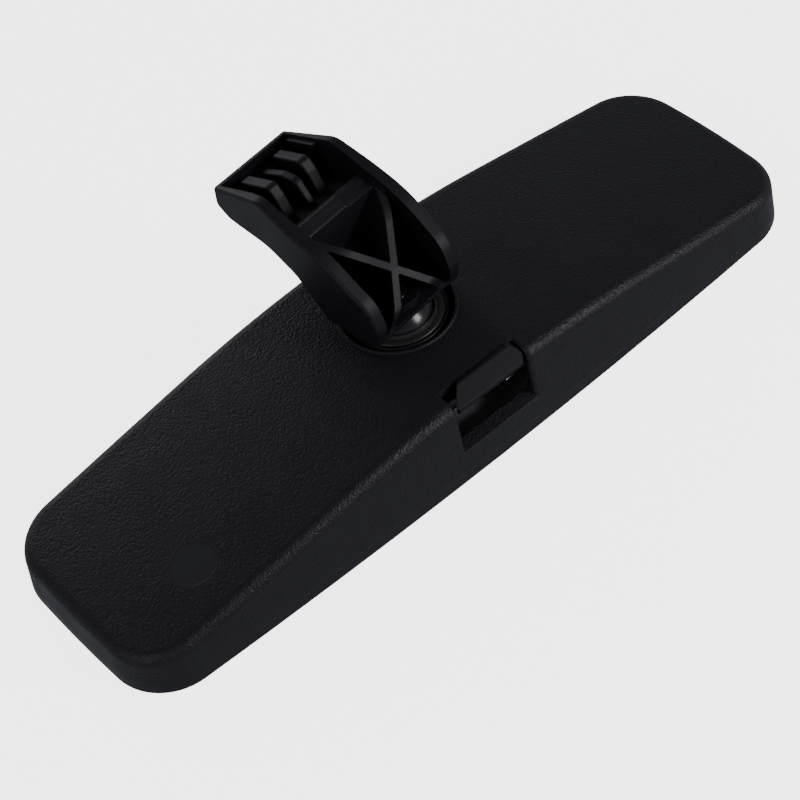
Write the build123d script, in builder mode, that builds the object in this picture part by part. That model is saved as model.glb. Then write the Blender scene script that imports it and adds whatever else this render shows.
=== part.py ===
import os
from math import atan, cos, radians, sin, sqrt, tan

from build123d import *

os.makedirs("parts", exist_ok=True)

# Interior rearview mirror, lying on its glass face. All sizes are in millimetres.
# X runs along the mirror, +Y towards its upper edge in the car, +Z out of its back.
# The origin is on the face it rests on, at the middle of the length.

# ---- Housing ----
CORNER_X_TOP = 124.7  # half length at the upper corners
CORNER_X_LOW = 124.9  # half length at the lower corners
CORNER_Y = 35.1  # half height at the corners
BULGE_TOP = 1.6
BULGE_LOW = 3.4
BULGE_END = 1.1
CORNER_R = 18.0
DRAFT = 4.5  # degrees, on every side wall
BACK_Z = 31.5  # height of the back at its middle
CROWN_R = 332.0  # lengthwise radius of the back
CROWN_SLOPE = 0.17  # slope of the back's straight ends
CROWN_HALF_Y = 45.0
CROWN_SAG_Y = 1.86  # fall of the back at CROWN_HALF_Y from the centre line
BACK_EDGE_R = 4.0
WALL = 2.2
BEZEL_Z = 4.5  # joint line between bezel and shell
DISC = (-93.4, -16.7)  # smooth round mark on the back
DISC_R = 6.8
DISC_DEPTH = 0.18

# ---- Glass ----
LIP_INSET = 5.5  # width of the border in front of the glass
GLASS_INSET = 3.8
GLASS_FRONT_Z = 1.3
GLASS_MID_Z = 5.5  # height of the prism's back on the centre line
GLASS_PRISM = 2.0  # degrees between the two faces
FILM = 0.25
TONGUE_TOP_Z = 8.4

# ---- Ball joint ----
RING_Y = 3.5  # the ball axis stands this far above the middle
OPENING_R = 16.9
LIP_Z = 31.7
BALL_Z = 25.0
BALL_R = 12.0
BALL_GAP = 0.1
SEAT_R = 13.0  # outside of the ball seat
SEAT_LOW_Z = 17.0
SEAT_EDGE = 60.0  # degrees from the axis to the seat's upper edge
BALL_FLAT_Z = 16.5
NECK_R = 6.2
STEM_R = 4.5
STEM_TOP_Z = 38.6
RING_R = 13.8  # friction ring above its shoulder
SHOULDER_R = 14.6
SHOULDER_Z = 24.0
RING_LOW_Z, RING_TOP_Z = 18.0, 30.4
COLLAR_R = 15.2
CUP_R = 15.9
SKIRT_R = 17.0
SCREW_CIRCLE_R = 20.0
SCREW_ANGLES = (90, 210, 330)

# ---- Day and night mechanism ----
HINGE_Y, HINGE_Z = 28.5, 15.0
HINGE_PIN_R = 1.5
PIN_GAP = 0.05
LEVER_Y, LEVER_Z = -26.0, 20.0
LEVER_PIN_R = 1.2
CRANK_Y = -21.0
CRANK_R = 1.6
CRANK_GAP = 0.4
PLATE_Z, PLATE_T = 10.2, 1.5
PLATE_TOP = PLATE_Z + PLATE_T

# ---- Notch for the lever ----
NOTCH_X = (-12.8, 14.0)
NOTCH_Y = -29.0
NOTCH_Z = 12.5
NOTCH_EDGE_R = 1.5
TAB_X = (-12.4, 13.6)

# ---- Mounting arm, drawn in a frame turned about the ball axis ----
ARM_YAW = 6.0  # degrees
BASE_Z = 35.2  # underside of the arm's base
ARM_MID_HALF = 17.8  # half width of the arm at its middle
ARM_TIP_HALF = 14.3
CHANNEL_MID_HALF = 13.7  # half width of the open channel
CHANNEL_TIP_HALF = 13.0
FOOT_SLOPE = atan(0.383)  # tilt of the foot's face

arm_x = (cos(radians(ARM_YAW)), sin(radians(ARM_YAW)), 0)
arm_y = (-sin(radians(ARM_YAW)), cos(radians(ARM_YAW)), 0)
arm_plan = Plane(origin=(0, RING_Y, 0), x_dir=arm_x, z_dir=(0, 0, 1))
arm_side = Plane(origin=(0, RING_Y, 0), x_dir=arm_y, z_dir=arm_x)
ball_section = Plane(origin=(0, RING_Y, 0), x_dir=(1, 0, 0), z_dir=(0, -1, 0))
ball_axis = Axis((0, RING_Y, 0), (0, 0, 1))


def write(piece, name):
    """Label a finished piece and write its STEP file."""
    piece.part.label = name
    export_step(piece.part, f"parts/{name}.step")


def rim_face(inset, z=0.0):
    """Front outline of the mirror, drawn in by inset, at height z."""
    x_low, x_top, y = CORNER_X_LOW - inset, CORNER_X_TOP - inset, CORNER_Y - inset
    with BuildSketch(Plane.XY.offset(z)) as rim:
        with BuildLine():
            ThreePointArc((-x_low, -y), (0, -y - BULGE_LOW), (x_low, -y))
            ThreePointArc((x_low, -y), (x_low + BULGE_END, 0), (x_top, y))
            ThreePointArc((x_top, y), (0, y + BULGE_TOP), (-x_top, y))
            ThreePointArc((-x_top, y), (-x_low - BULGE_END, 0), (-x_low, -y))
        make_face()
        fillet(rim.vertices(), CORNER_R - inset)
    return rim.sketch


def crown(drop):
    """Solid below the crowned back surface, lowered by drop."""
    slope = atan(CROWN_SLOPE)
    end_x = 140.0
    tangent_x = CROWN_R * sin(slope)
    tangent_z = BACK_Z - drop - CROWN_R * (1 - cos(slope))
    end_z = tangent_z - CROWN_SLOPE * (end_x - tangent_x)
    start = Plane(origin=(-end_x, 0, end_z), x_dir=(0, 1, 0), z_dir=(cos(slope), 0, sin(slope)))
    with BuildPart() as below:
        with BuildLine(Plane.XZ) as path:
            Line((-end_x, end_z), (-tangent_x, tangent_z))
            ThreePointArc((-tangent_x, tangent_z), (0, BACK_Z - drop), (tangent_x, tangent_z))
            Line((tangent_x, tangent_z), (end_x, end_z))
        with BuildSketch(start):
            with BuildLine():
                left, right = (-CROWN_HALF_Y, -CROWN_SAG_Y), (CROWN_HALF_Y, -CROWN_SAG_Y)
                ThreePointArc(left, (0, 0), right)
                Polyline(right, (CROWN_HALF_Y, -60), (-CROWN_HALF_Y, -60), left)
            make_face()
        sweep(path=path.wires()[0])
    return below.part


def back_z(x, y):
    """Height of the back's surface at x, y, near its middle or its straight ends."""
    slope = atan(CROWN_SLOPE)
    tangent_x = CROWN_R * sin(slope)
    sag_y = CROWN_SAG_Y * (y / CROWN_HALF_Y) ** 2
    if abs(x) < tangent_x:
        return BACK_Z - CROWN_R + sqrt(CROWN_R**2 - x**2) - sag_y
    return BACK_Z - CROWN_R * (1 - cos(slope)) - CROWN_SLOPE * (abs(x) - tangent_x) - sag_y


def x_cylinder(radius, x_from, x_to, y, z, mode=Mode.ADD):
    """Cylinder along X, for use inside a part."""
    with BuildSketch(Plane.YZ.offset(x_from)) as disc:
        with Locations((y, z)):
            Circle(radius)
    extrude(disc.sketch, amount=x_to - x_from, mode=mode)


def span_box(x, y, z, mode=Mode.ADD):
    """Box between low and high values on each axis, for use inside a part."""
    with Locations((sum(x) / 2, sum(y) / 2, sum(z) / 2)):
        Box(x[1] - x[0], y[1] - y[0], z[1] - z[0], mode=mode)


def turned(*points, mode=Mode.ADD):
    """Ring turned about the ball axis from a closed outline of radius and height."""
    with BuildSketch(ball_section) as outline:
        with BuildLine():
            Polyline(*points, close=True)
        make_face()
    revolve(outline.sketch, axis=ball_axis, mode=mode)


# ---------------------------------------------------------------- housing shell
POST_X = ((-30.0, -26.0), (26.0, 30.0))  # posts that carry the hinge pin
LEVER_POST_X = ((-17.0, -13.1), (14.3, 18.2))  # posts that carry the lever pin
LEAF_TOP_Z = 17.1  # where the detent spring lies against its post
LEAF_T = 0.5
SPRING_POST = ((10.0, 15.0), (-19.5, -15.5), (LEAF_TOP_Z, 31.0))
SPRING_SCREW = (12.4, -17.5)
SPRING_SCREW_R = 1.0
SPRING_SCREW_L = 5.0

inner_back = crown(WALL)
post_limit = crown(WALL / 2)
with BuildPart() as posts:
    for x in POST_X:
        span_box(x, (HINGE_Y - 3.5, HINGE_Y + 3.5), (HINGE_Z, 31.0))
        x_cylinder(3.5, x[0], x[1], HINGE_Y, HINGE_Z)
    for x in LEVER_POST_X:
        span_box(x, (LEVER_Y - 3.2, LEVER_Y + 3.2), (LEVER_Z, 31.0))
        x_cylinder(3.2, x[0], x[1], LEVER_Y, LEVER_Z)
    span_box(*SPRING_POST)
    add(post_limit, mode=Mode.INTERSECT)

with BuildPart() as shell_space:
    extrude(rim_face(WALL), amount=45, taper=DRAFT)
    add(inner_back, mode=Mode.INTERSECT)

with BuildPart() as housing_shell:
    extrude(rim_face(0), amount=45, taper=DRAFT)
    add(crown(0), mode=Mode.INTERSECT)
    back_edges = housing_shell.edges().filter_by(
        lambda e: e.bounding_box().min.Z > 8 and (abs(e.center().Y) > 20 or abs(e.center().X) > 110)
    )
    fillet(back_edges, BACK_EDGE_R)
    add(shell_space.part, mode=Mode.SUBTRACT)
    split(bisect_by=Plane.XY.offset(BEZEL_Z), keep=Keep.TOP)
    # sill behind the lower edge of the notch
    span_box((NOTCH_X[0] - 1.2, NOTCH_X[1] + 1.2), (-36.6, -33.6), (BEZEL_Z + 4.2, NOTCH_Z + 1.5))
    add(posts.part)
    # opening for the ball joint, with a small raised lip
    turned(
        (OPENING_R - 0.5, BACK_Z - WALL),
        (OPENING_R + 1.0, BACK_Z - WALL),
        (OPENING_R + 1.0, LIP_Z - 0.25),
        (OPENING_R + 0.75, LIP_Z),
        (OPENING_R + 0.2, LIP_Z),
        (OPENING_R, LIP_Z - 0.2),
        (OPENING_R - 0.5, LIP_Z - 0.2),
    )
    turned(
        (0, BACK_Z - 8),
        (OPENING_R, BACK_Z - 8),
        (OPENING_R, BACK_Z + 8),
        (0, BACK_Z + 8),
        mode=Mode.SUBTRACT,
    )
    # notch that the lever's tab stands in, with a sill sloping outwards
    with BuildSketch(Plane.YZ.offset(NOTCH_X[0])):
        with BuildLine():
            Polyline(
                (-45, NOTCH_Z - 2.6),
                (-33, NOTCH_Z + 1.0),
                (-33, 25),
                (NOTCH_Y, 25),
                (NOTCH_Y, 40),
                (-45, 40),
                close=True,
            )
        make_face()
    extrude(amount=NOTCH_X[1] - NOTCH_X[0], mode=Mode.SUBTRACT)
    side_edges = housing_shell.edges().filter_by(lambda e: min(abs(e.center().X - x) for x in NOTCH_X) < 0.01)
    fillet(side_edges.filter_by(lambda e: e.center().Y < -35 and e.center().Z > 13), NOTCH_EDGE_R)
    # bores for the two pins and the spring's screw
    with BuildSketch(Plane.YZ.offset(-40)):
        with Locations((HINGE_Y, HINGE_Z)):
            Circle(HINGE_PIN_R)
        with Locations((LEVER_Y, LEVER_Z)):
            Circle(LEVER_PIN_R)
    extrude(amount=80, mode=Mode.SUBTRACT)
    with BuildSketch(Plane.XY.offset(LEAF_TOP_Z)):
        with Locations(SPRING_SCREW):
            Circle(SPRING_SCREW_R)
    extrude(amount=SPRING_SCREW_L, mode=Mode.SUBTRACT)
    # smooth round mark, a shallow recess
    disc_centre = (*DISC, back_z(*DISC))
    mark = Plane(origin=disc_centre, x_dir=(1, 0, CROWN_SLOPE), z_dir=(-CROWN_SLOPE, -0.03, 1))
    with BuildSketch(mark.offset(-DISC_DEPTH)):
        Circle(DISC_R)
    extrude(amount=3, mode=Mode.SUBTRACT)
write(housing_shell, "housing_shell")

# ---------------------------------------------------------------- front bezel
NIB_X = (-90.0, -45.0, 0.0, 45.0, 90.0)  # snap nibs that hold the glass
with BuildPart() as front_bezel:
    extrude(rim_face(0), amount=BEZEL_Z, taper=DRAFT)
    fillet(front_bezel.faces().sort_by(Axis.Z)[0].edges(), 1.2)
    extrude(rim_face(WALL + 0.1), amount=TONGUE_TOP_Z, taper=DRAFT)
    extrude(rim_face(LIP_INSET), amount=TONGUE_TOP_Z, mode=Mode.SUBTRACT)
    extrude(rim_face(GLASS_INSET - 0.1, GLASS_FRONT_Z), amount=TONGUE_TOP_Z, mode=Mode.SUBTRACT)
    for x in NIB_X:
        bow = 1 - (x / CORNER_X_LOW) ** 2
        low_y = -CORNER_Y - BULGE_LOW * bow + GLASS_INSET
        top_y = CORNER_Y + BULGE_TOP * bow - GLASS_INSET
        span_box((x - 4, x + 4), (low_y - 0.6, low_y + 0.9), (4.9, 5.9))
        span_box((x - 4, x + 4), (top_y - 0.9, top_y + 0.6), (7.2, 8.2))
write(front_bezel, "front_bezel")

# ---------------------------------------------------------------- mirror glass
prism = radians(GLASS_PRISM)
prism_back = Plane(origin=(0, 0, GLASS_MID_Z), x_dir=(1, 0, 0), z_dir=(0, -sin(prism), cos(prism)))
with BuildPart() as mirror_glass:
    extrude(rim_face(GLASS_INSET, GLASS_FRONT_Z), amount=10)
    split(bisect_by=prism_back, keep=Keep.BOTTOM)
write(mirror_glass, "mirror_glass")

with BuildPart() as glass_backing:
    extrude(rim_face(GLASS_INSET + 1.4, GLASS_FRONT_Z), amount=10)
    split(bisect_by=prism_back, keep=Keep.TOP)
    split(bisect_by=prism_back.offset(FILM), keep=Keep.BOTTOM)
write(glass_backing, "glass_backing")

FOAM_X = ((-112.0, -44.0), (44.0, 112.0))
with BuildPart() as foam_strips:
    with BuildSketch(prism_back.offset(FILM)):
        for low, high in FOAM_X:
            with Locations(((low + high) / 2, 0)):
                RectangleRounded(high - low, 16, 3)
    extrude(amount=3)
write(foam_strips, "foam_strips")

# ---------------------------------------------------------------- pins and clips in the housing
HINGE_PIN_X = 31.6
CLIP_X = ((-31.2, -30.6), (30.6, 31.2))
with BuildPart() as bracket_hinge_pin:
    x_cylinder(HINGE_PIN_R, -HINGE_PIN_X, HINGE_PIN_X, HINGE_Y, HINGE_Z)
    for low, high in CLIP_X:
        with BuildSketch(Plane.YZ.offset(low)) as groove:
            with Locations((HINGE_Y, HINGE_Z)):
                Circle(HINGE_PIN_R + 1)
                Circle(HINGE_PIN_R - 0.35, mode=Mode.SUBTRACT)
        extrude(groove.sketch, amount=high - low, mode=Mode.SUBTRACT)
    chamfer(bracket_hinge_pin.edges().filter_by(GeomType.CIRCLE).group_by(Axis.X)[0], 0.3)
    chamfer(bracket_hinge_pin.edges().filter_by(GeomType.CIRCLE).group_by(Axis.X)[-1], 0.3)
write(bracket_hinge_pin, "bracket_hinge_pin")

with BuildPart() as hinge_pin_clips:
    for low, high in CLIP_X:
        with BuildSketch(Plane.YZ.offset(low)) as clip:
            with Locations((HINGE_Y, HINGE_Z)):
                Circle(3.0)
                Circle(HINGE_PIN_R - 0.35, mode=Mode.SUBTRACT)
            with Locations((HINGE_Y, HINGE_Z - 2.5)):
                Rectangle(1.6, 5.0, mode=Mode.SUBTRACT)
        extrude(clip.sketch, amount=high - low)
write(hinge_pin_clips, "hinge_pin_clips")

with BuildPart() as lever_pivot_pin:
    x_cylinder(LEVER_PIN_R, -17.0, 18.2, LEVER_Y, LEVER_Z)
    x_cylinder(LEVER_PIN_R + 1.0, 18.2, 19.2, LEVER_Y, LEVER_Z)
write(lever_pivot_pin, "lever_pivot_pin")

LEAF_X = (10.2, 14.6)
LEAF_MID_Z = LEAF_TOP_Z - LEAF_T / 2
with BuildPart() as detent_spring:
    with BuildSketch(Plane.YZ.offset(LEAF_X[0])):
        with BuildLine():
            FilletPolyline(
                (-15.6, LEAF_MID_Z),
                (-19.5, LEAF_MID_Z),
                (-26.0, 15.6),
                (-29.6, 16.8),
                radius=1.5,
            )
            offset(amount=LEAF_T / 2, side=Side.BOTH)
        make_face()
    extrude(amount=LEAF_X[1] - LEAF_X[0])
    with BuildSketch(Plane.XY.offset(15)):
        with Locations(SPRING_SCREW):
            Circle(SPRING_SCREW_R + 0.15)
    extrude(amount=3, mode=Mode.SUBTRACT)
write(detent_spring, "detent_spring")

SPRING_HEAD_Z = 15.3
with BuildPart() as spring_screw:
    with BuildSketch(Plane.XY.offset(SPRING_HEAD_Z)):
        with Locations(SPRING_SCREW):
            Circle(1.7)
    extrude(amount=LEAF_TOP_Z - LEAF_T - SPRING_HEAD_Z)
    with BuildSketch(Plane.XY.offset(SPRING_HEAD_Z)):
        with Locations(SPRING_SCREW):
            Circle(SPRING_SCREW_R)
    extrude(amount=LEAF_TOP_Z + SPRING_SCREW_L - 0.3 - SPRING_HEAD_Z)
    with BuildSketch(Plane.XY.offset(SPRING_HEAD_Z)):
        with Locations(SPRING_SCREW):
            Rectangle(2.4, 0.5)
            Rectangle(0.5, 2.4)
    extrude(amount=0.6, mode=Mode.SUBTRACT)
write(spring_screw, "spring_screw")

# ---------------------------------------------------------------- day and night lever
HUB_R = 3.6
SLIM_HUB_R = 2.4  # beside the tab's slanted end
HUB_X = (NOTCH_X[0], NOTCH_X[1])
WEB_X = ((-9.0, -6.2), (6.2, 9.0))
with BuildPart() as day_night_lever:
    # tab and the web that joins it to the hub
    with BuildSketch(Plane.YZ.offset(TAB_X[0])):
        with BuildLine():
            FilletPolyline(
                (-26.0, 21.5),
                (-28.0, 21.5),
                (-30.8, 25.0),
                (-34.4, 25.7),
                (-36.3, 26.9),
                (-36.2, 28.2),
                (-30.8, 32.0),
                (-29.5, 31.3),
                (-29.5, 28.0),
                (-26.0, 24.0),
                radius=[0.4, 1.5, 1.5, 0.6, 0.6, 1.0, 0.5, 1.0],
                close=False,
            )
            Line((-26.0, 24.0), (-26.0, 21.5))
        make_face()
    extrude(amount=TAB_X[1] - TAB_X[0])
    # outline of the tab seen from above, with its slanted end
    with BuildSketch(Plane.XY.offset(10)):
        with BuildLine():
            FilletPolyline(
                (-6.2, -20.0),
                (TAB_X[1], -20.0),
                (TAB_X[1], -34.4),
                (TAB_X[1] - 2.4, -37.2),
                (-11.0, -37.2),
                (TAB_X[0], -35.4),
                (-6.2, -29.2),
                close=True,
                radius=[0.5, 0.5, 2.0, 2.0, 1.2, 1.0, 1.5],
            )
        make_face()
    extrude(amount=30, mode=Mode.INTERSECT)
    # outline seen from the front, with the ridge rounded off at its right end
    with BuildSketch(Plane.XZ.offset(20)):
        with BuildLine():
            FilletPolyline(
                (-30.0, 10.0),
                (TAB_X[1], 10.0),
                (TAB_X[1], 31.8),
                (-30.0, 33.5),
                close=True,
                radius=[1.0, 1.0, 3.2, 1.0],
            )
        make_face()
    extrude(amount=20, mode=Mode.INTERSECT)
    x_cylinder(SLIM_HUB_R, HUB_X[0], WEB_X[0][1], LEVER_Y, LEVER_Z)
    x_cylinder(HUB_R, WEB_X[1][0], HUB_X[1], LEVER_Y, LEVER_Z)
    x_cylinder(LEVER_PIN_R + 0.8, WEB_X[0][1], WEB_X[1][0], LEVER_Y, LEVER_Z)
    for low, high in WEB_X:
        span_box((low, high), (LEVER_Y, CRANK_Y), (LEVER_Z - CRANK_R, LEVER_Z + CRANK_R))
    x_cylinder(CRANK_R, WEB_X[0][0], WEB_X[1][1], CRANK_Y, LEVER_Z)
    x_cylinder(LEVER_PIN_R + PIN_GAP, HUB_X[0] - 1, HUB_X[1] + 1, LEVER_Y, LEVER_Z, mode=Mode.SUBTRACT)
write(day_night_lever, "day_night_lever")

# ---------------------------------------------------------------- toggle bracket
KNUCKLE_X = ((-25.4, -17.4), (17.4, 25.4))
FORK_X = (-5.2, 5.2)
FORK_GAP = CRANK_R + CRANK_GAP
JAW_T = 1.6
screw_places = [
    (SCREW_CIRCLE_R * cos(radians(a)), RING_Y + SCREW_CIRCLE_R * sin(radians(a))) for a in SCREW_ANGLES
]
with BuildPart() as toggle_bracket:
    with BuildSketch(Plane.XY.offset(PLATE_Z)):
        with Locations((0, 5.5)):
            RectangleRounded(50, 42, 4)
        with Locations((0, RING_Y)):
            Circle(8, mode=Mode.SUBTRACT)
        with Locations(*screw_places):
            Circle(1.3, mode=Mode.SUBTRACT)
    extrude(amount=PLATE_T)
    for low, high in KNUCKLE_X:
        x_cylinder(3.2, low, high, HINGE_Y, HINGE_Z)
        span_box((low, high), (HINGE_Y - 3.2, HINGE_Y - 0.4), (PLATE_Z, HINGE_Z))
    x_cylinder(HINGE_PIN_R + PIN_GAP, -30, 30, HINGE_Y, HINGE_Z, mode=Mode.SUBTRACT)
    # fork that the lever's crank moves in
    for z in (LEVER_Z - FORK_GAP - JAW_T, LEVER_Z + FORK_GAP):
        span_box(FORK_X, (-23.2, -15.6), (z, z + JAW_T))
    span_box(FORK_X, (-17.4, -15.4), (PLATE_Z, LEVER_Z + FORK_GAP + JAW_T))
    # stiffening ribs beside the socket
    for x in (-23.4, 22.0):
        span_box((x, x + 1.4), (-10, 22), (PLATE_Z, PLATE_TOP + 2.4))
write(toggle_bracket, "toggle_bracket")

# ---------------------------------------------------------------- ball socket
CUP_FLOOR = 1.3
with BuildPart() as socket_cup:
    floor_z = PLATE_TOP + CUP_FLOOR
    turned(
        (6.0, PLATE_TOP),
        (SKIRT_R + 0.2, PLATE_TOP),
        (SKIRT_R + 0.2, PLATE_TOP + 2.0),
        (CUP_R, PLATE_TOP + 2.6),
        (CUP_R, SHOULDER_Z),
        (SHOULDER_R + BALL_GAP, SHOULDER_Z),
        (SHOULDER_R + BALL_GAP, 15.2),
        (13.0, 15.2),
        (13.0, floor_z),
        (6.0, floor_z),
    )
    with BuildSketch(Plane.XY.offset(PLATE_TOP)):
        with Locations(*screw_places):
            Circle(3.6)
        with Locations((0, RING_Y)):
            Circle(CUP_R - 0.5, mode=Mode.SUBTRACT)
        with Locations(*screw_places):
            Circle(1.35, mode=Mode.SUBTRACT)
    extrude(amount=2.0)
write(socket_cup, "socket_cup")

with BuildPart() as socket_screws:
    for place in screw_places:
        with BuildSketch(Plane.XY.offset(PLATE_Z)) as shank:
            with Locations(place):
                Circle(1.25)
        extrude(shank.sketch, amount=PLATE_T + 2.0)
        with BuildSketch(Plane.XY.offset(PLATE_TOP + 2.0)) as head:
            with Locations(place):
                Circle(2.5)
        extrude(head.sketch, amount=1.6)
        with BuildSketch(Plane.XY.offset(PLATE_TOP + 2.8)) as cross:
            with Locations(place):
                Rectangle(3.0, 0.7)
                Rectangle(0.7, 3.0)
        extrude(cross.sketch, amount=1.6, mode=Mode.SUBTRACT)
write(socket_screws, "socket_screws")

with BuildPart() as socket_collar:
    turned(
        (CUP_R + 0.05, 19.0),
        (SKIRT_R, 19.0),
        (SKIRT_R, SHOULDER_Z + 0.1),
        (COLLAR_R, SHOULDER_Z + 1.1),
        (COLLAR_R, RING_TOP_Z - 0.5),
        (COLLAR_R - 0.4, RING_TOP_Z - 0.1),
        (RING_R + BALL_GAP, RING_TOP_Z - 0.1),
        (RING_R + BALL_GAP, SHOULDER_Z + 0.05),
        (CUP_R + 0.05, SHOULDER_Z + 0.05),
    )
write(socket_collar, "socket_collar")

with BuildPart() as preload_washer:
    turned((11.3, 17.1), (11.3, 17.8), (14.4, 15.9), (14.4, 15.2), (14.0, 15.2))
write(preload_washer, "preload_washer")

# ---------------------------------------------------------------- ball and its seat
with BuildPart() as friction_ring:
    turned(
        (9.0, RING_LOW_Z),
        (SHOULDER_R, RING_LOW_Z),
        (SHOULDER_R, SHOULDER_Z - 0.05),
        (RING_R, SHOULDER_Z - 0.05),
        (RING_R, RING_TOP_Z - 0.3),
        (RING_R - 0.3, RING_TOP_Z),
        (9.0, RING_TOP_Z),
    )
    with Locations((0, RING_Y, BALL_Z)):
        Sphere(SEAT_R + BALL_GAP, mode=Mode.SUBTRACT)
write(friction_ring, "friction_ring")

SEAT_SLOTS = 6
with BuildPart() as ball_seat:
    with Locations((0, RING_Y, BALL_Z)):
        Sphere(SEAT_R)
        Sphere(BALL_R + BALL_GAP, mode=Mode.SUBTRACT)
    span_box((-15, 15), (RING_Y - 15, RING_Y + 15), (10, SEAT_LOW_Z), mode=Mode.SUBTRACT)
    reach = 16.0
    turned(
        (0, BALL_Z),
        (reach * sin(radians(SEAT_EDGE)), BALL_Z + reach * cos(radians(SEAT_EDGE))),
        (0, BALL_Z + reach),
        mode=Mode.SUBTRACT,
    )
    with Locations((0, RING_Y, SEAT_LOW_Z)):
        with PolarLocations(SEAT_R - 1.5, SEAT_SLOTS):
            Box(6, 1.4, 12, mode=Mode.SUBTRACT)
write(ball_seat, "ball_seat")

with BuildPart() as ball_stud:
    with Locations((0, RING_Y, BALL_Z)):
        Sphere(BALL_R)
    span_box((-15, 15), (RING_Y - 15, RING_Y + 15), (10, BALL_FLAT_Z), mode=Mode.SUBTRACT)
    span_box((-15, 15), (RING_Y - 15, RING_Y + 15), (BASE_Z, 40), mode=Mode.SUBTRACT)
    turned((0, BALL_Z), (NECK_R, BALL_Z), (NECK_R, BASE_Z), (0, BASE_Z))
    turned(
        (0, BALL_Z),
        (STEM_R, BALL_Z),
        (STEM_R, STEM_TOP_Z - 0.6),
        (STEM_R - 0.6, STEM_TOP_Z),
        (0, STEM_TOP_Z),
    )
    turned((0, 10), (6.0, 10), (6.0, BALL_Z - 2), (0, BALL_Z), mode=Mode.SUBTRACT)
write(ball_stud, "ball_stud")

# ---------------------------------------------------------------- mounting arm
# Side outlines hold distance from the ball axis, towards the foot, and height.
FOOT_TIP = (53.4, 60.3)
CREST = (
    FOOT_TIP,
    (32.0, 60.3 + (53.4 - 32.0) * tan(FOOT_SLOPE)),
    (7.0, 60.7),
    (-8.2, 50.0),
    (-10.6, 41.5),
    (-9.4, BASE_Z),
)
BACK = ((9.2, BASE_Z), (20.0, 47.0), (31.0, 50.8), (48.5, 50.4), (54.0, 53.4))
BACK_SKIN = 2.5
FLOOR_Z = BASE_Z + 1.9  # top of the base plate


def arm_slab(half_tip, half_mid):
    """Tall prism with the arm's plan outline."""
    with BuildPart() as slab:
        with BuildSketch(arm_plan) as plan:
            with BuildLine():
                FilletPolyline(
                    (half_tip, 58),
                    (-half_tip, 58),
                    (-half_mid, 18),
                    (-half_mid, -2),
                    (-half_mid + 0.9, -14),
                    (half_mid - 0.9, -14),
                    (half_mid, -2),
                    (half_mid, 18),
                    close=True,
                    radius=[0.5, 0.5, 150, 100, 0.5, 0.5, 100, 150],
                )
            make_face()
        extrude(amount=90)
    return slab.part


def arm_prism(x_from, x_to, points, radius):
    """Prism across the arm from a side outline of distance and height."""
    with BuildPart() as prism:
        with BuildSketch(arm_side.offset(x_from)) as outline:
            with BuildLine():
                FilletPolyline(*points, close=True, radius=radius)
            make_face()
        extrude(outline.sketch, amount=x_to - x_from)
    return prism.part


def foot_z(distance, below):
    """Height of a point a given depth below the foot's face."""
    return FOOT_TIP[1] + (FOOT_TIP[0] - distance) * tan(FOOT_SLOPE) - below


def bounds_side(edge, sides):
    """Whether an edge bounds just one of the arm's side walls."""
    return sum(any(edge.is_same(other) for other in side.edges()) for side in sides) == 1


OUTER_RADII = [1.2, 7.0, 30.0, 10.0, 8.0, 1.0, 2.5, 10.0, 20.0, 8.0, 2.5]
SIDE_EDGE_R = 1.2
POCKET = (
    (51.6, 90),
    (51.6, 54.6),
    (47.6, 52.9),
    (31.0, 53.4),
    (18.6, 49.8),
    (7.0, FLOOR_Z),
    (-40, FLOOR_Z),
    (-40, 90),
)
POCKET_RADII = [1.0, 1.0, 3.0, 15.0, 10.0, 3.0, 1.0, 1.0]
CROSS_WALL = (
    (15.6, 46.0),
    (15.6, 61.6),
    (19.4, 63.5),
    (22.0, 61.2),
    (26.0, 57.0),
    (33.0, 53.4),
    (33.0, 52.0),
    (20.0, 48.5),
)
CROSS_RADII = [0.5, 0.5, 1.0, 2.0, 6.0, 0.5, 0.5, 0.5]
CROSS_STEP = ((10, 60.9), (18.0, 60.9), (20.0, 61.6), (24, 61.6), (24, 70), (10, 70))
RIB_T = 2.2
RIB_ANGLE = 53.0
RIB_DRAW = radians(60.0)  # slope of the direction that the ribs are moulded in
RIB_CROSSING = (-2.5, 49.2)
RIB_ZONE = (
    (17.5, 62.4),
    (7.0, 57.8),
    RIB_CROSSING,
    (-9.4, 42.0),
    (-9.0, 36.2),
    (8.0, 36.2),
    (20.0, 48.5),
)
RIB_RADII = [1.0, 12.0, 12.0, 3.0, 1.0, 1.0, 4.0]
OUTER_TONGUE = (
    (49.0, 51.8),
    (49.0, foot_z(49, 2)),
    (36.6, foot_z(36.6, 2)),
    (33.8, 61.5),
    (30.0, 53.5),
    (30.0, 51.8),
)
MID_TONGUE = (
    (46.0, 51.8),
    (48.5, foot_z(48.5, 4)),
    (39.0, foot_z(39, 3)),
    (33.0, 63.6),
    (28.5, 57.0),
    (27.0, 51.4),
)
TONGUE_RADII = [1.0, 1.6, 2.0, 3.0, 1.5, 1.0]
TONGUE_EDGE_R = 0.8
TONGUES = ((-6.4, 4.0, OUTER_TONGUE), (0.2, 2.8, MID_TONGUE), (6.6, 4.0, OUTER_TONGUE))
LEDGE = (
    (50.0, foot_z(50, 1.4)),
    (37.5, foot_z(37.5, 1.4)),
    (37.5, foot_z(37.5, 3.4)),
    (50.0, foot_z(50, 3.4)),
)
BOSS_R = 7.5

with BuildPart() as arm_ribs:
    rib_origin = arm_side.from_local_coords((*RIB_CROSSING, 0))
    draw = arm_side.from_local_coords((-sin(RIB_DRAW), cos(RIB_DRAW), 0)) - arm_side.origin
    with BuildSketch(Plane(origin=rib_origin, x_dir=arm_x, z_dir=draw)):
        for turn in (-RIB_ANGLE, RIB_ANGLE):
            with Locations(Rotation(0, 0, turn)):
                Rectangle(60, RIB_T)
    extrude(amount=40, both=True)
    add(arm_prism(-16, 16, RIB_ZONE, RIB_RADII), mode=Mode.INTERSECT)

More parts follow.
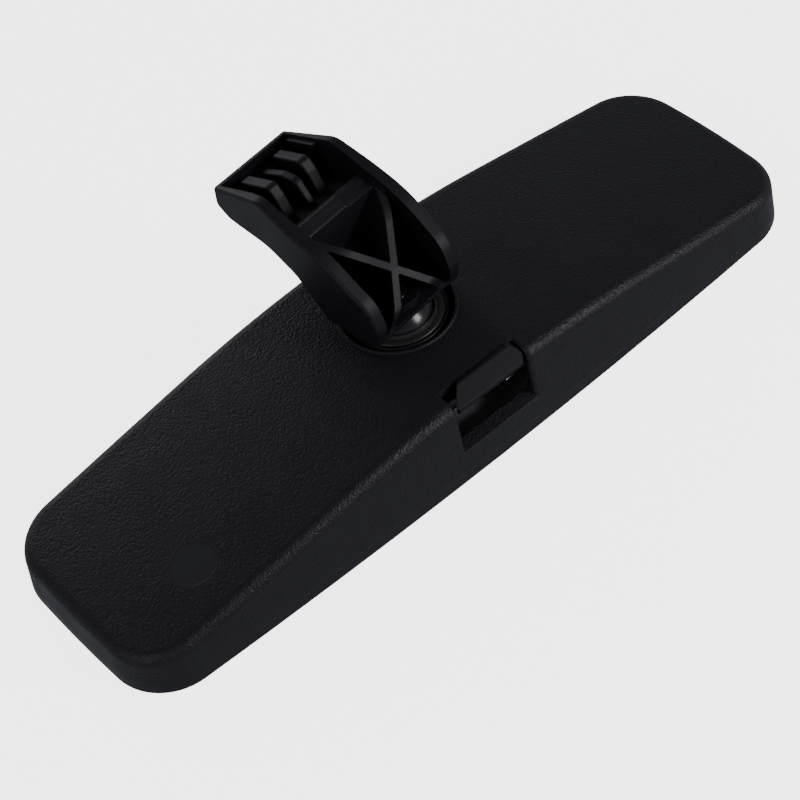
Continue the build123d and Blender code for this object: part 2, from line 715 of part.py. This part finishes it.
with BuildPart() as arm_tongues:
    for x, width, outline in TONGUES:
        add(arm_prism(x - width / 2, x + width / 2, outline, TONGUE_RADII))
    flanks = [f for f in arm_tongues.faces() if abs(f.normal_at().dot(Vector(*arm_x))) > 0.9]
    fillet([e for f in flanks for e in f.edges()], TONGUE_EDGE_R)

with BuildPart() as arm_inside:
    add(arm_prism(-14.5, 14.5, CROSS_WALL, CROSS_RADII))
    add(arm_prism(2.0, 16.0, CROSS_STEP, 0.3), mode=Mode.SUBTRACT)
    add(arm_tongues.part)
    for side in (-13.6, 11.8):
        add(arm_prism(side, side + 1.8, LEDGE, 0.5))
    add(arm_ribs.part)
    with BuildSketch(arm_plan.offset(FLOOR_Z - 0.5)):
        Circle(BOSS_R)
    extrude(amount=STEM_TOP_Z + 0.2 - FLOOR_Z + 0.5)

with BuildPart() as channel:
    add(arm_prism(-25, 25, POCKET, POCKET_RADII))
    add(arm_slab(CHANNEL_TIP_HALF, CHANNEL_MID_HALF), mode=Mode.INTERSECT)

with BuildPart() as mounting_arm:
    add(arm_prism(-25, 25, (*CREST, *BACK), OUTER_RADII))
    add(arm_slab(ARM_TIP_HALF, ARM_MID_HALF), mode=Mode.INTERSECT)
    walls = [f for f in mounting_arm.faces() if abs(f.normal_at().dot(Vector(*arm_x))) > 0.9]
    fillet([e for e in mounting_arm.edges() if bounds_side(e, walls)], SIDE_EDGE_R)
    add(channel.part, mode=Mode.SUBTRACT)
    add(arm_inside.part)
    with BuildSketch(arm_plan.offset(BASE_Z - 1)):
        Circle(STEM_R)
    extrude(amount=STEM_TOP_Z - BASE_Z + 2, mode=Mode.SUBTRACT)
write(mounting_arm, "mounting_arm")
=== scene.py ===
"""Interior rearview mirror, lying on its glass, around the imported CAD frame. Lengths are in metres."""

import math

import bmesh
import bpy
from mathutils import Matrix, Vector, noise


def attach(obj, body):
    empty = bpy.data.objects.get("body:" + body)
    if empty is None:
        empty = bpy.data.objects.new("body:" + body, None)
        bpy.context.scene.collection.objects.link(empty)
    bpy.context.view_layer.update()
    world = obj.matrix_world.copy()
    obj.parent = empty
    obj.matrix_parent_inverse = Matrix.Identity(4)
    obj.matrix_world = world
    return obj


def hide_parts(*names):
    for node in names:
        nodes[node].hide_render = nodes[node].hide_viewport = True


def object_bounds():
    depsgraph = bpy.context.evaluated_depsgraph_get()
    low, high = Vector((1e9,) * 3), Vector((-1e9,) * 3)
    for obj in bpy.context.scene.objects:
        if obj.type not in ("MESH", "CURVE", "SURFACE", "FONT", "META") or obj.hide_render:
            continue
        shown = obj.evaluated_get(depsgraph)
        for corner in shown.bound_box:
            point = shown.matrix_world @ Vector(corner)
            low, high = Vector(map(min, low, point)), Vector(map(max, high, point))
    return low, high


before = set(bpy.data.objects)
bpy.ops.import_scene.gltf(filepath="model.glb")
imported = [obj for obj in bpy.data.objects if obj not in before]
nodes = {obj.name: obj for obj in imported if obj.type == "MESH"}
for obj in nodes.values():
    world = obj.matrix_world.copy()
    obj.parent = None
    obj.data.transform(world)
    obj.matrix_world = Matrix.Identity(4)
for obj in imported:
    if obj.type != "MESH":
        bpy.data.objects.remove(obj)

cad_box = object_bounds()
MM = 0.001

# ---------------------------------------------------------------- camera
AZIMUTH = math.radians(-32.8)
ELEVATION = math.radians(49.46)
ROLL = math.radians(-11.14)
DISTANCE = 0.66346
TARGET = Vector((-0.00762, -0.00075, 0))
LENS = 101.57


def add_camera():
    """The photograph's viewing angle, as an orbit about the target with a roll."""
    back = Vector(
        (
            math.sin(AZIMUTH) * math.cos(ELEVATION),
            -math.cos(AZIMUTH) * math.cos(ELEVATION),
            math.sin(ELEVATION),
        )
    )
    right = Vector((math.cos(AZIMUTH), math.sin(AZIMUTH), 0))
    up = back.cross(right)
    rolled_right = right * math.cos(ROLL) + up * math.sin(ROLL)
    rolled_up = back.cross(rolled_right)
    camera = bpy.data.objects.new("camera", bpy.data.cameras.new("camera"))
    turn = Matrix((rolled_right, rolled_up, back)).transposed()
    camera.matrix_world = Matrix.Translation(TARGET + back * DISTANCE) @ turn.to_4x4()
    camera.data.lens = LENS
    camera.data.sensor_width = 36
    bpy.context.collection.objects.link(camera)
    bpy.context.scene.camera = camera


# ---------------------------------------------------------------- studio
ROOM_LEVELS = ((0.0, 0.4), (0.12, 0.5), (0.5, 0.2))  # height of a direction, brightness
ROOM_TINT = (0.96, 0.97, 1.1)
FLOOR_HALF = 12.0
FLOOR_COLOUR = (0.92, 0.92, 0.92, 1)
FLOOR_GLOW = 3.5
SOFTBOXES = (
    # name, azimuth, elevation, distance, size, power
    ("key", 30, 29, 1.5, 0.42, 13.0),
    ("rear", 176, 20, 1.6, 0.7, 5.0),
    ("left", -75, 30, 1.5, 0.5, 3.5),
)


def add_softbox(name, azimuth, elevation, distance, size, power):
    """Square area light that faces the mirror from an angle round it, in degrees."""
    turn, rise = math.radians(azimuth), math.radians(elevation)
    away = Vector((math.sin(turn) * math.cos(rise), -math.cos(turn) * math.cos(rise), math.sin(rise)))
    light = bpy.data.objects.new(name, bpy.data.lights.new(name, "AREA"))
    light.data.size = size
    light.data.energy = power
    facing = away.to_track_quat("Z", "Y").to_matrix().to_4x4()
    light.matrix_world = Matrix.Translation(away * distance) @ facing
    bpy.context.collection.objects.link(light)


def add_surroundings():
    """Pale room: brightest just above the horizon, dimmer overhead and under the floor."""
    world = bpy.data.worlds.new("studio")
    world.use_nodes = True
    tree = world.node_tree
    place = tree.nodes.new("ShaderNodeTexCoord")
    parts = tree.nodes.new("ShaderNodeSeparateXYZ")
    ramp_node = tree.nodes.new("ShaderNodeValToRGB")
    stops = ramp_node.color_ramp.elements
    stops.new(0.5)
    for stop, (height, level) in zip(stops, ROOM_LEVELS):
        stop.position = height
        stop.color = (*(level * tint for tint in ROOM_TINT), 1)
    tree.links.new(place.outputs["Generated"], parts.inputs["Vector"])
    tree.links.new(parts.outputs["Z"], ramp_node.inputs["Fac"])
    tree.links.new(ramp_node.outputs["Color"], tree.nodes["Background"].inputs["Color"])
    bpy.context.scene.world = world


def add_floor():
    """Plain pale floor under the mirror, left out of its reflections and its shading."""
    corners = [(-1, -1), (1, -1), (1, 1), (-1, 1)]
    mesh = bpy.data.meshes.new("floor")
    mesh.from_pydata([(x * FLOOR_HALF, y * FLOOR_HALF, 0) for x, y in corners], [], [(0, 1, 2, 3)])
    floor = bpy.data.objects.new("floor", mesh)
    floor.location.z = cad_box[0][2]
    floor.visible_glossy = False
    floor.visible_diffuse = False
    bpy.context.collection.objects.link(floor)
    material = bpy.data.materials.new("floor")
    material.use_nodes = True
    shader = material.node_tree.nodes["Principled BSDF"]
    shader.inputs["Base Color"].default_value = FLOOR_COLOUR
    shader.inputs["Roughness"].default_value = 0.9
    shader.inputs["Emission Color"].default_value = (1, 1, 1, 1)
    shader.inputs["Emission Strength"].default_value = FLOOR_GLOW
    mesh.materials.append(material)


# ---------------------------------------------------------------- materials
MIX_FACTOR, MIX_A, MIX_B, MIX_RESULT = 0, 6, 7, 2  # a Mix node's colour sockets
NOISE_LOW, NOISE_HIGH = 0.3, 0.7  # the range that most of a noise texture fills


class Surface:
    """One procedural material: a Principled shader with small helpers for its nodes."""

    def __init__(self, name, colour, roughness, **sockets):
        self.material = bpy.data.materials.new(name)
        self.material.use_nodes = True
        self.tree = self.material.node_tree
        self.shader = self.tree.nodes["Principled BSDF"]
        self.place = self.tree.nodes.new("ShaderNodeTexCoord").outputs["Object"]
        self.shader.inputs["Base Color"].default_value = (*colour, 1)
        self.shader.inputs["Roughness"].default_value = roughness
        for socket, value in sockets.items():
            self.shader.inputs[socket].default_value = value
        self.normal = None

    def soften_edges(self, radius):
        """Rounds the shading of sharp edges, as a mould does."""
        bevel = self.add("ShaderNodeBevel", samples=4)
        bevel.inputs["Radius"].default_value = radius
        self.normal = bevel.outputs["Normal"]
        self.link(self.normal, self.shader.inputs["Normal"])

    def add(self, kind, **settings):
        node = self.tree.nodes.new(kind)
        for key, value in settings.items():
            if key in node.inputs:
                node.inputs[key].default_value = value
            else:
                setattr(node, key, value)
        return node

    def link(self, source, target):
        self.tree.links.new(source, target)

    def noise(self, size, detail=3.0, stretch=(1, 1, 1)):
        """Noise with features of about a given size."""
        place = self.place
        if stretch != (1, 1, 1):
            mapping = self.add("ShaderNodeMapping", Scale=stretch)
            self.link(place, mapping.inputs["Vector"])
            place = mapping.outputs["Vector"]
        texture = self.add("ShaderNodeTexNoise", Scale=1 / size, Detail=detail)
        self.link(place, texture.inputs["Vector"])
        return texture.outputs["Fac"]

    def vary_colour(self, size, low, high, stretch=(1, 1, 1)):
        """Colour that wanders between two tones."""
        ramp = self.add("ShaderNodeValToRGB")
        ramp.color_ramp.elements[0].position = NOISE_LOW
        ramp.color_ramp.elements[0].color = (*low, 1)
        ramp.color_ramp.elements[1].position = NOISE_HIGH
        ramp.color_ramp.elements[1].color = (*high, 1)
        self.link(self.noise(size, stretch=stretch), ramp.inputs["Fac"])
        self.link(ramp.outputs["Color"], self.shader.inputs["Base Color"])

    def lighten_disc(self, mask, colour):
        """Keeps the colour where the mask is 1 and gives another where it is 0."""
        mix = self.add("ShaderNodeMix", data_type="RGBA")
        mix.inputs[MIX_A].default_value = (*colour, 1)
        self.link(self.shader.inputs["Base Color"].links[0].from_socket, mix.inputs[MIX_B])
        self.link(mask, mix.inputs[MIX_FACTOR])
        self.link(mix.outputs[MIX_RESULT], self.shader.inputs["Base Color"])

    def vary_roughness(self, size, low, high, stretch=(1, 1, 1)):
        """Roughness that wanders between two values."""
        spread = self.add("ShaderNodeMapRange")
        spread.inputs["From Min"].default_value = NOISE_LOW
        spread.inputs["From Max"].default_value = NOISE_HIGH
        spread.inputs["To Min"].default_value = low
        spread.inputs["To Max"].default_value = high
        self.link(self.noise(size, stretch=stretch), spread.inputs["Value"])
        self.link(spread.outputs["Result"], self.shader.inputs["Roughness"])

    def bump(self, height, depth, strength=1.0, mask=None):
        """Adds relief of a given depth on top of what is there, fading where a mask is 0."""
        bump = self.add("ShaderNodeBump", Strength=strength, Distance=depth)
        self.link(height, bump.inputs["Height"])
        if mask is not None:
            self.link(mask, bump.inputs["Strength"])
        if self.normal is not None:
            self.link(self.normal, bump.inputs["Normal"])
        self.normal = bump.outputs["Normal"]
        self.link(self.normal, self.shader.inputs["Normal"])

    def outside_disc(self, centre, radius):
        """1 away from an upright round area, 0 in it."""
        across = self.add("ShaderNodeVectorMath", operation="SUBTRACT")
        across.inputs[1].default_value = (*centre, 0)
        self.link(self.place, across.inputs[0])
        flat = self.add("ShaderNodeVectorMath", operation="MULTIPLY")
        flat.inputs[1].default_value = (1, 1, 0)
        self.link(across.outputs["Vector"], flat.inputs[0])
        away = self.add("ShaderNodeVectorMath", operation="LENGTH")
        self.link(flat.outputs["Vector"], away.inputs[0])
        edge = self.add("ShaderNodeMapRange")
        edge.inputs["From Min"].default_value = radius
        edge.inputs["From Max"].default_value = radius * 1.08
        self.link(away.outputs["Value"], edge.inputs["Value"])
        return edge.outputs["Result"]

    def grain(self, size, depth, mask=None):
        """Moulded leather-like grain: low domes between fine valleys."""
        warp = self.add("ShaderNodeTexNoise", Scale=1 / (size * 2.5), Detail=2.0)
        self.link(self.place, warp.inputs["Vector"])
        shifted = self.add("ShaderNodeVectorMath", operation="MULTIPLY_ADD")
        shifted.inputs[1].default_value = (size, size, size)
        self.link(warp.outputs["Color"], shifted.inputs[0])
        self.link(self.place, shifted.inputs[2])
        cells = self.add("ShaderNodeTexVoronoi", Scale=1 / size, feature="SMOOTH_F1")
        cells.inputs["Smoothness"].default_value = 0.4
        self.link(shifted.outputs["Vector"], cells.inputs["Vector"])
        flipped = self.add("ShaderNodeMath", operation="SUBTRACT")
        flipped.inputs[0].default_value = 1.0
        self.link(cells.outputs["Distance"], flipped.inputs[1])
        self.bump(flipped.outputs["Value"], depth, mask=mask)


def moulded(name, colour, roughness, grain_size, grain_depth, specular=0.3, smooth_disc=None):
    """Moulded plastic with a fine grain, a little uneven in tone and gloss."""
    surface = Surface(name, colour, roughness, **{"Specular IOR Level": specular})
    low = [c * 0.85 for c in colour]
    high = [c * 1.15 for c in colour]
    surface.vary_colour(14 * MM, low, high)
    surface.soften_edges(0.35 * MM)
    surface.vary_roughness(9 * MM, roughness - 0.04, roughness + 0.04)
    mask = None
    if smooth_disc:
        mask = surface.outside_disc(*smooth_disc)
        surface.lighten_disc(mask, [c * 2.2 for c in colour])
    surface.grain(grain_size, grain_depth, mask)
    surface.bump(surface.noise(0.12 * MM, 2.0), 0.004 * MM, 0.6)
    return surface.material


def steel(name, colour, roughness, stretch=(1, 1, 1)):
    """Bright steel with fine drawing marks."""
    surface = Surface(name, colour, roughness, Metallic=1.0)
    surface.vary_roughness(0.6 * MM, roughness - 0.08, roughness + 0.08, stretch)
    surface.bump(surface.noise(0.25 * MM, 2.0, stretch), 0.003 * MM, 0.5)
    return surface.material


def wear(node, material):
    """Gives a CAD node a material on every slot."""
    mesh = nodes[node].data
    mesh.materials.clear()
    mesh.materials.append(material)


BLACK = (0.0055, 0.0055, 0.0075)
DISC_CENTRE, DISC_RADIUS = (-93.4 * MM, -16.7 * MM), 6.8 * MM
housing_plastic = moulded(
    "housing_plastic", BLACK, 0.5, 0.72 * MM, 0.16 * MM, smooth_disc=(DISC_CENTRE, DISC_RADIUS)
)
bezel_plastic = moulded("bezel_plastic", BLACK, 0.42, 0.5 * MM, 0.02 * MM)
arm_plastic = moulded("arm_plastic", BLACK, 0.52, 0.5 * MM, 0.03 * MM, specular=0.25)
lever_plastic = moulded("lever_plastic", BLACK, 0.5, 0.5 * MM, 0.03 * MM, specular=0.16)
bracket_plastic = moulded("bracket_plastic", (0.02, 0.02, 0.022), 0.5, 0.5 * MM, 0.015 * MM)
socket_plastic = moulded("socket_plastic", BLACK, 0.35, 0.4 * MM, 0.01 * MM)
ring_plastic = moulded("ring_plastic", (0.02, 0.02, 0.021), 0.35, 0.4 * MM, 0.006 * MM)
seat_plastic = moulded("seat_plastic", (0.02, 0.02, 0.021), 0.28, 0.4 * MM, 0.004 * MM)
ball_coat = moulded("ball_coat", (0.012, 0.012, 0.013), 0.22, 0.3 * MM, 0.002 * MM)
pin_steel = steel("pin_steel", (0.62, 0.62, 0.63), 0.25, (0.08, 1, 1))
spring_steel = steel("spring_steel", (0.42, 0.42, 0.45), 0.3, (0.1, 1, 1))
screw_steel = steel("screw_steel", (0.58, 0.58, 0.6), 0.28)

mirror = Surface("silvered_glass", (0.86, 0.88, 0.89), 0.02, Metallic=1.0)
mirror.vary_roughness(30 * MM, 0.01, 0.035)
paint = Surface("backing_paint", (0.16, 0.16, 0.17), 0.6)
paint.vary_colour(8 * MM, (0.14, 0.14, 0.15), (0.19, 0.19, 0.2))
paint.bump(paint.noise(0.8 * MM), 0.02 * MM)
foam = Surface("foam", (0.05, 0.05, 0.05), 0.95)
foam.vary_colour(1.5 * MM, (0.035, 0.035, 0.036), (0.07, 0.07, 0.07))
foam.grain(0.6 * MM, 0.25 * MM)

# ---------------------------------------------------------------- foam strips
# From the middle of a strip's underside, round its edge, to the middle of its top, in mm: inset and height.
STRIP_PROFILE = (
    (7.2, 0.0), (5.0, 0.0), (2.5, 0.0), (0.7, 0.05), (0.25, 0.3), (0.05, 0.9),
    (0.0, 1.5), (0.1, 2.1), (0.35, 2.55), (0.9, 2.8), (2.5, 2.9), (5.0, 2.95), (7.2, 2.95),
)
STRIP_CORNER = 3.0 * MM
CORNER_STEPS, LONG_STEPS, SHORT_STEPS = 4, 26, 5
CELL_SIZE, CELL_DEPTH = 1.6 * MM, 0.09 * MM


def strip_outline(half_long, half_short, radius):
    """Rounded rectangle as a list of points, the same number of them at any size."""
    points = []
    for quarter, (side_x, side_y) in enumerate(((1, 1), (-1, 1), (-1, -1), (1, -1))):
        middle = Vector((side_x * (half_long - radius), side_y * (half_short - radius)))
        for step in range(CORNER_STEPS + 1):
            turn = math.pi / 2 * (quarter + step / CORNER_STEPS)
            points.append(middle + radius * Vector((math.cos(turn), math.sin(turn))))
        if quarter % 2 == 0:
            run, steps = Vector((-2 * side_x * (half_long - radius), 0)), LONG_STEPS
        else:
            run, steps = Vector((0, -2 * side_y * (half_short - radius))), SHORT_STEPS
        points.extend([points[-1] + run * step / steps for step in range(1, steps)])
    return points


def foam_strip(name, side):
    """Foam strip with rounded, uneven edges, in the space of its CAD solid on the tilted glass."""
    solid = nodes["foam_strips"].data
    under = [p for p in solid.polygons if p.normal.z < -0.9 and p.center.x * side > 0]
    corners = [solid.vertices[i].co for p in under for i in p.vertices]
    lift = -sum((p.normal * p.area for p in under), Vector()).normalized()
    along = Vector((1, 0, 0))
    across = lift.cross(along).normalized()
    low = Vector((min(c.dot(along) for c in corners), min(c.dot(across) for c in corners)))
    high = Vector((max(c.dot(along) for c in corners), max(c.dot(across) for c in corners)))
    middle, half = (low + high) / 2, (high - low) / 2
    origin = along * middle.x + across * middle.y + lift * corners[0].dot(lift)
    strip = bmesh.new()
    loops = []
    for inset, height in STRIP_PROFILE:
        inset = inset * MM
        ring = strip_outline(half.x - inset, half.y - inset, max(STRIP_CORNER - inset, 0.3 * MM))
        rise = lift * (height * MM)
        loops.append([strip.verts.new(origin + along * p.x + across * p.y + rise) for p in ring])
    for lower, upper in zip(loops, loops[1:]):
        for i in range(len(lower)):
            j = (i + 1) % len(lower)
            strip.faces.new((lower[i], lower[j], upper[j], upper[i]))
    strip.faces.new(reversed(loops[0]))
    strip.faces.new(loops[-1])
    strip.normal_update()
    for vertex in strip.verts:
        sink = (1 + noise.noise(vertex.co / CELL_SIZE)) / 2 * CELL_DEPTH
        vertex.co -= vertex.normal * sink
    mesh = bpy.data.meshes.new(name)
    strip.to_mesh(mesh)
    strip.free()
    mesh.shade_smooth()
    mesh.materials.append(foam.material)
    piece = bpy.data.objects.new(name, mesh)
    bpy.context.collection.objects.link(piece)
    piece.modifiers.new("smooth", "SUBSURF").render_levels = 1
    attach(piece, "housing")
    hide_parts("foam_strips")


foam_strip("foam_strip_left", -1)
foam_strip("foam_strip_right", 1)

finishes = {
    "housing_shell": housing_plastic,
    "front_bezel": bezel_plastic,
    "mirror_glass": mirror.material,
    "glass_backing": paint.material,
    "foam_strips": foam.material,
    "bracket_hinge_pin": pin_steel,
    "hinge_pin_clips": spring_steel,
    "lever_pivot_pin": pin_steel,
    "detent_spring": spring_steel,
    "spring_screw": screw_steel,
    "day_night_lever": lever_plastic,
    "toggle_bracket": bracket_plastic,
    "socket_cup": socket_plastic,
    "socket_collar": socket_plastic,
    "socket_screws": screw_steel,
    "preload_washer": spring_steel,
    "friction_ring": ring_plastic,
    "ball_seat": seat_plastic,
    "ball_stud": ball_coat,
    "mounting_arm": arm_plastic,
}
for node, material in finishes.items():
    wear(node, material)

add_camera()
add_surroundings()
add_floor()
for softbox in SOFTBOXES:
    add_softbox(*softbox)
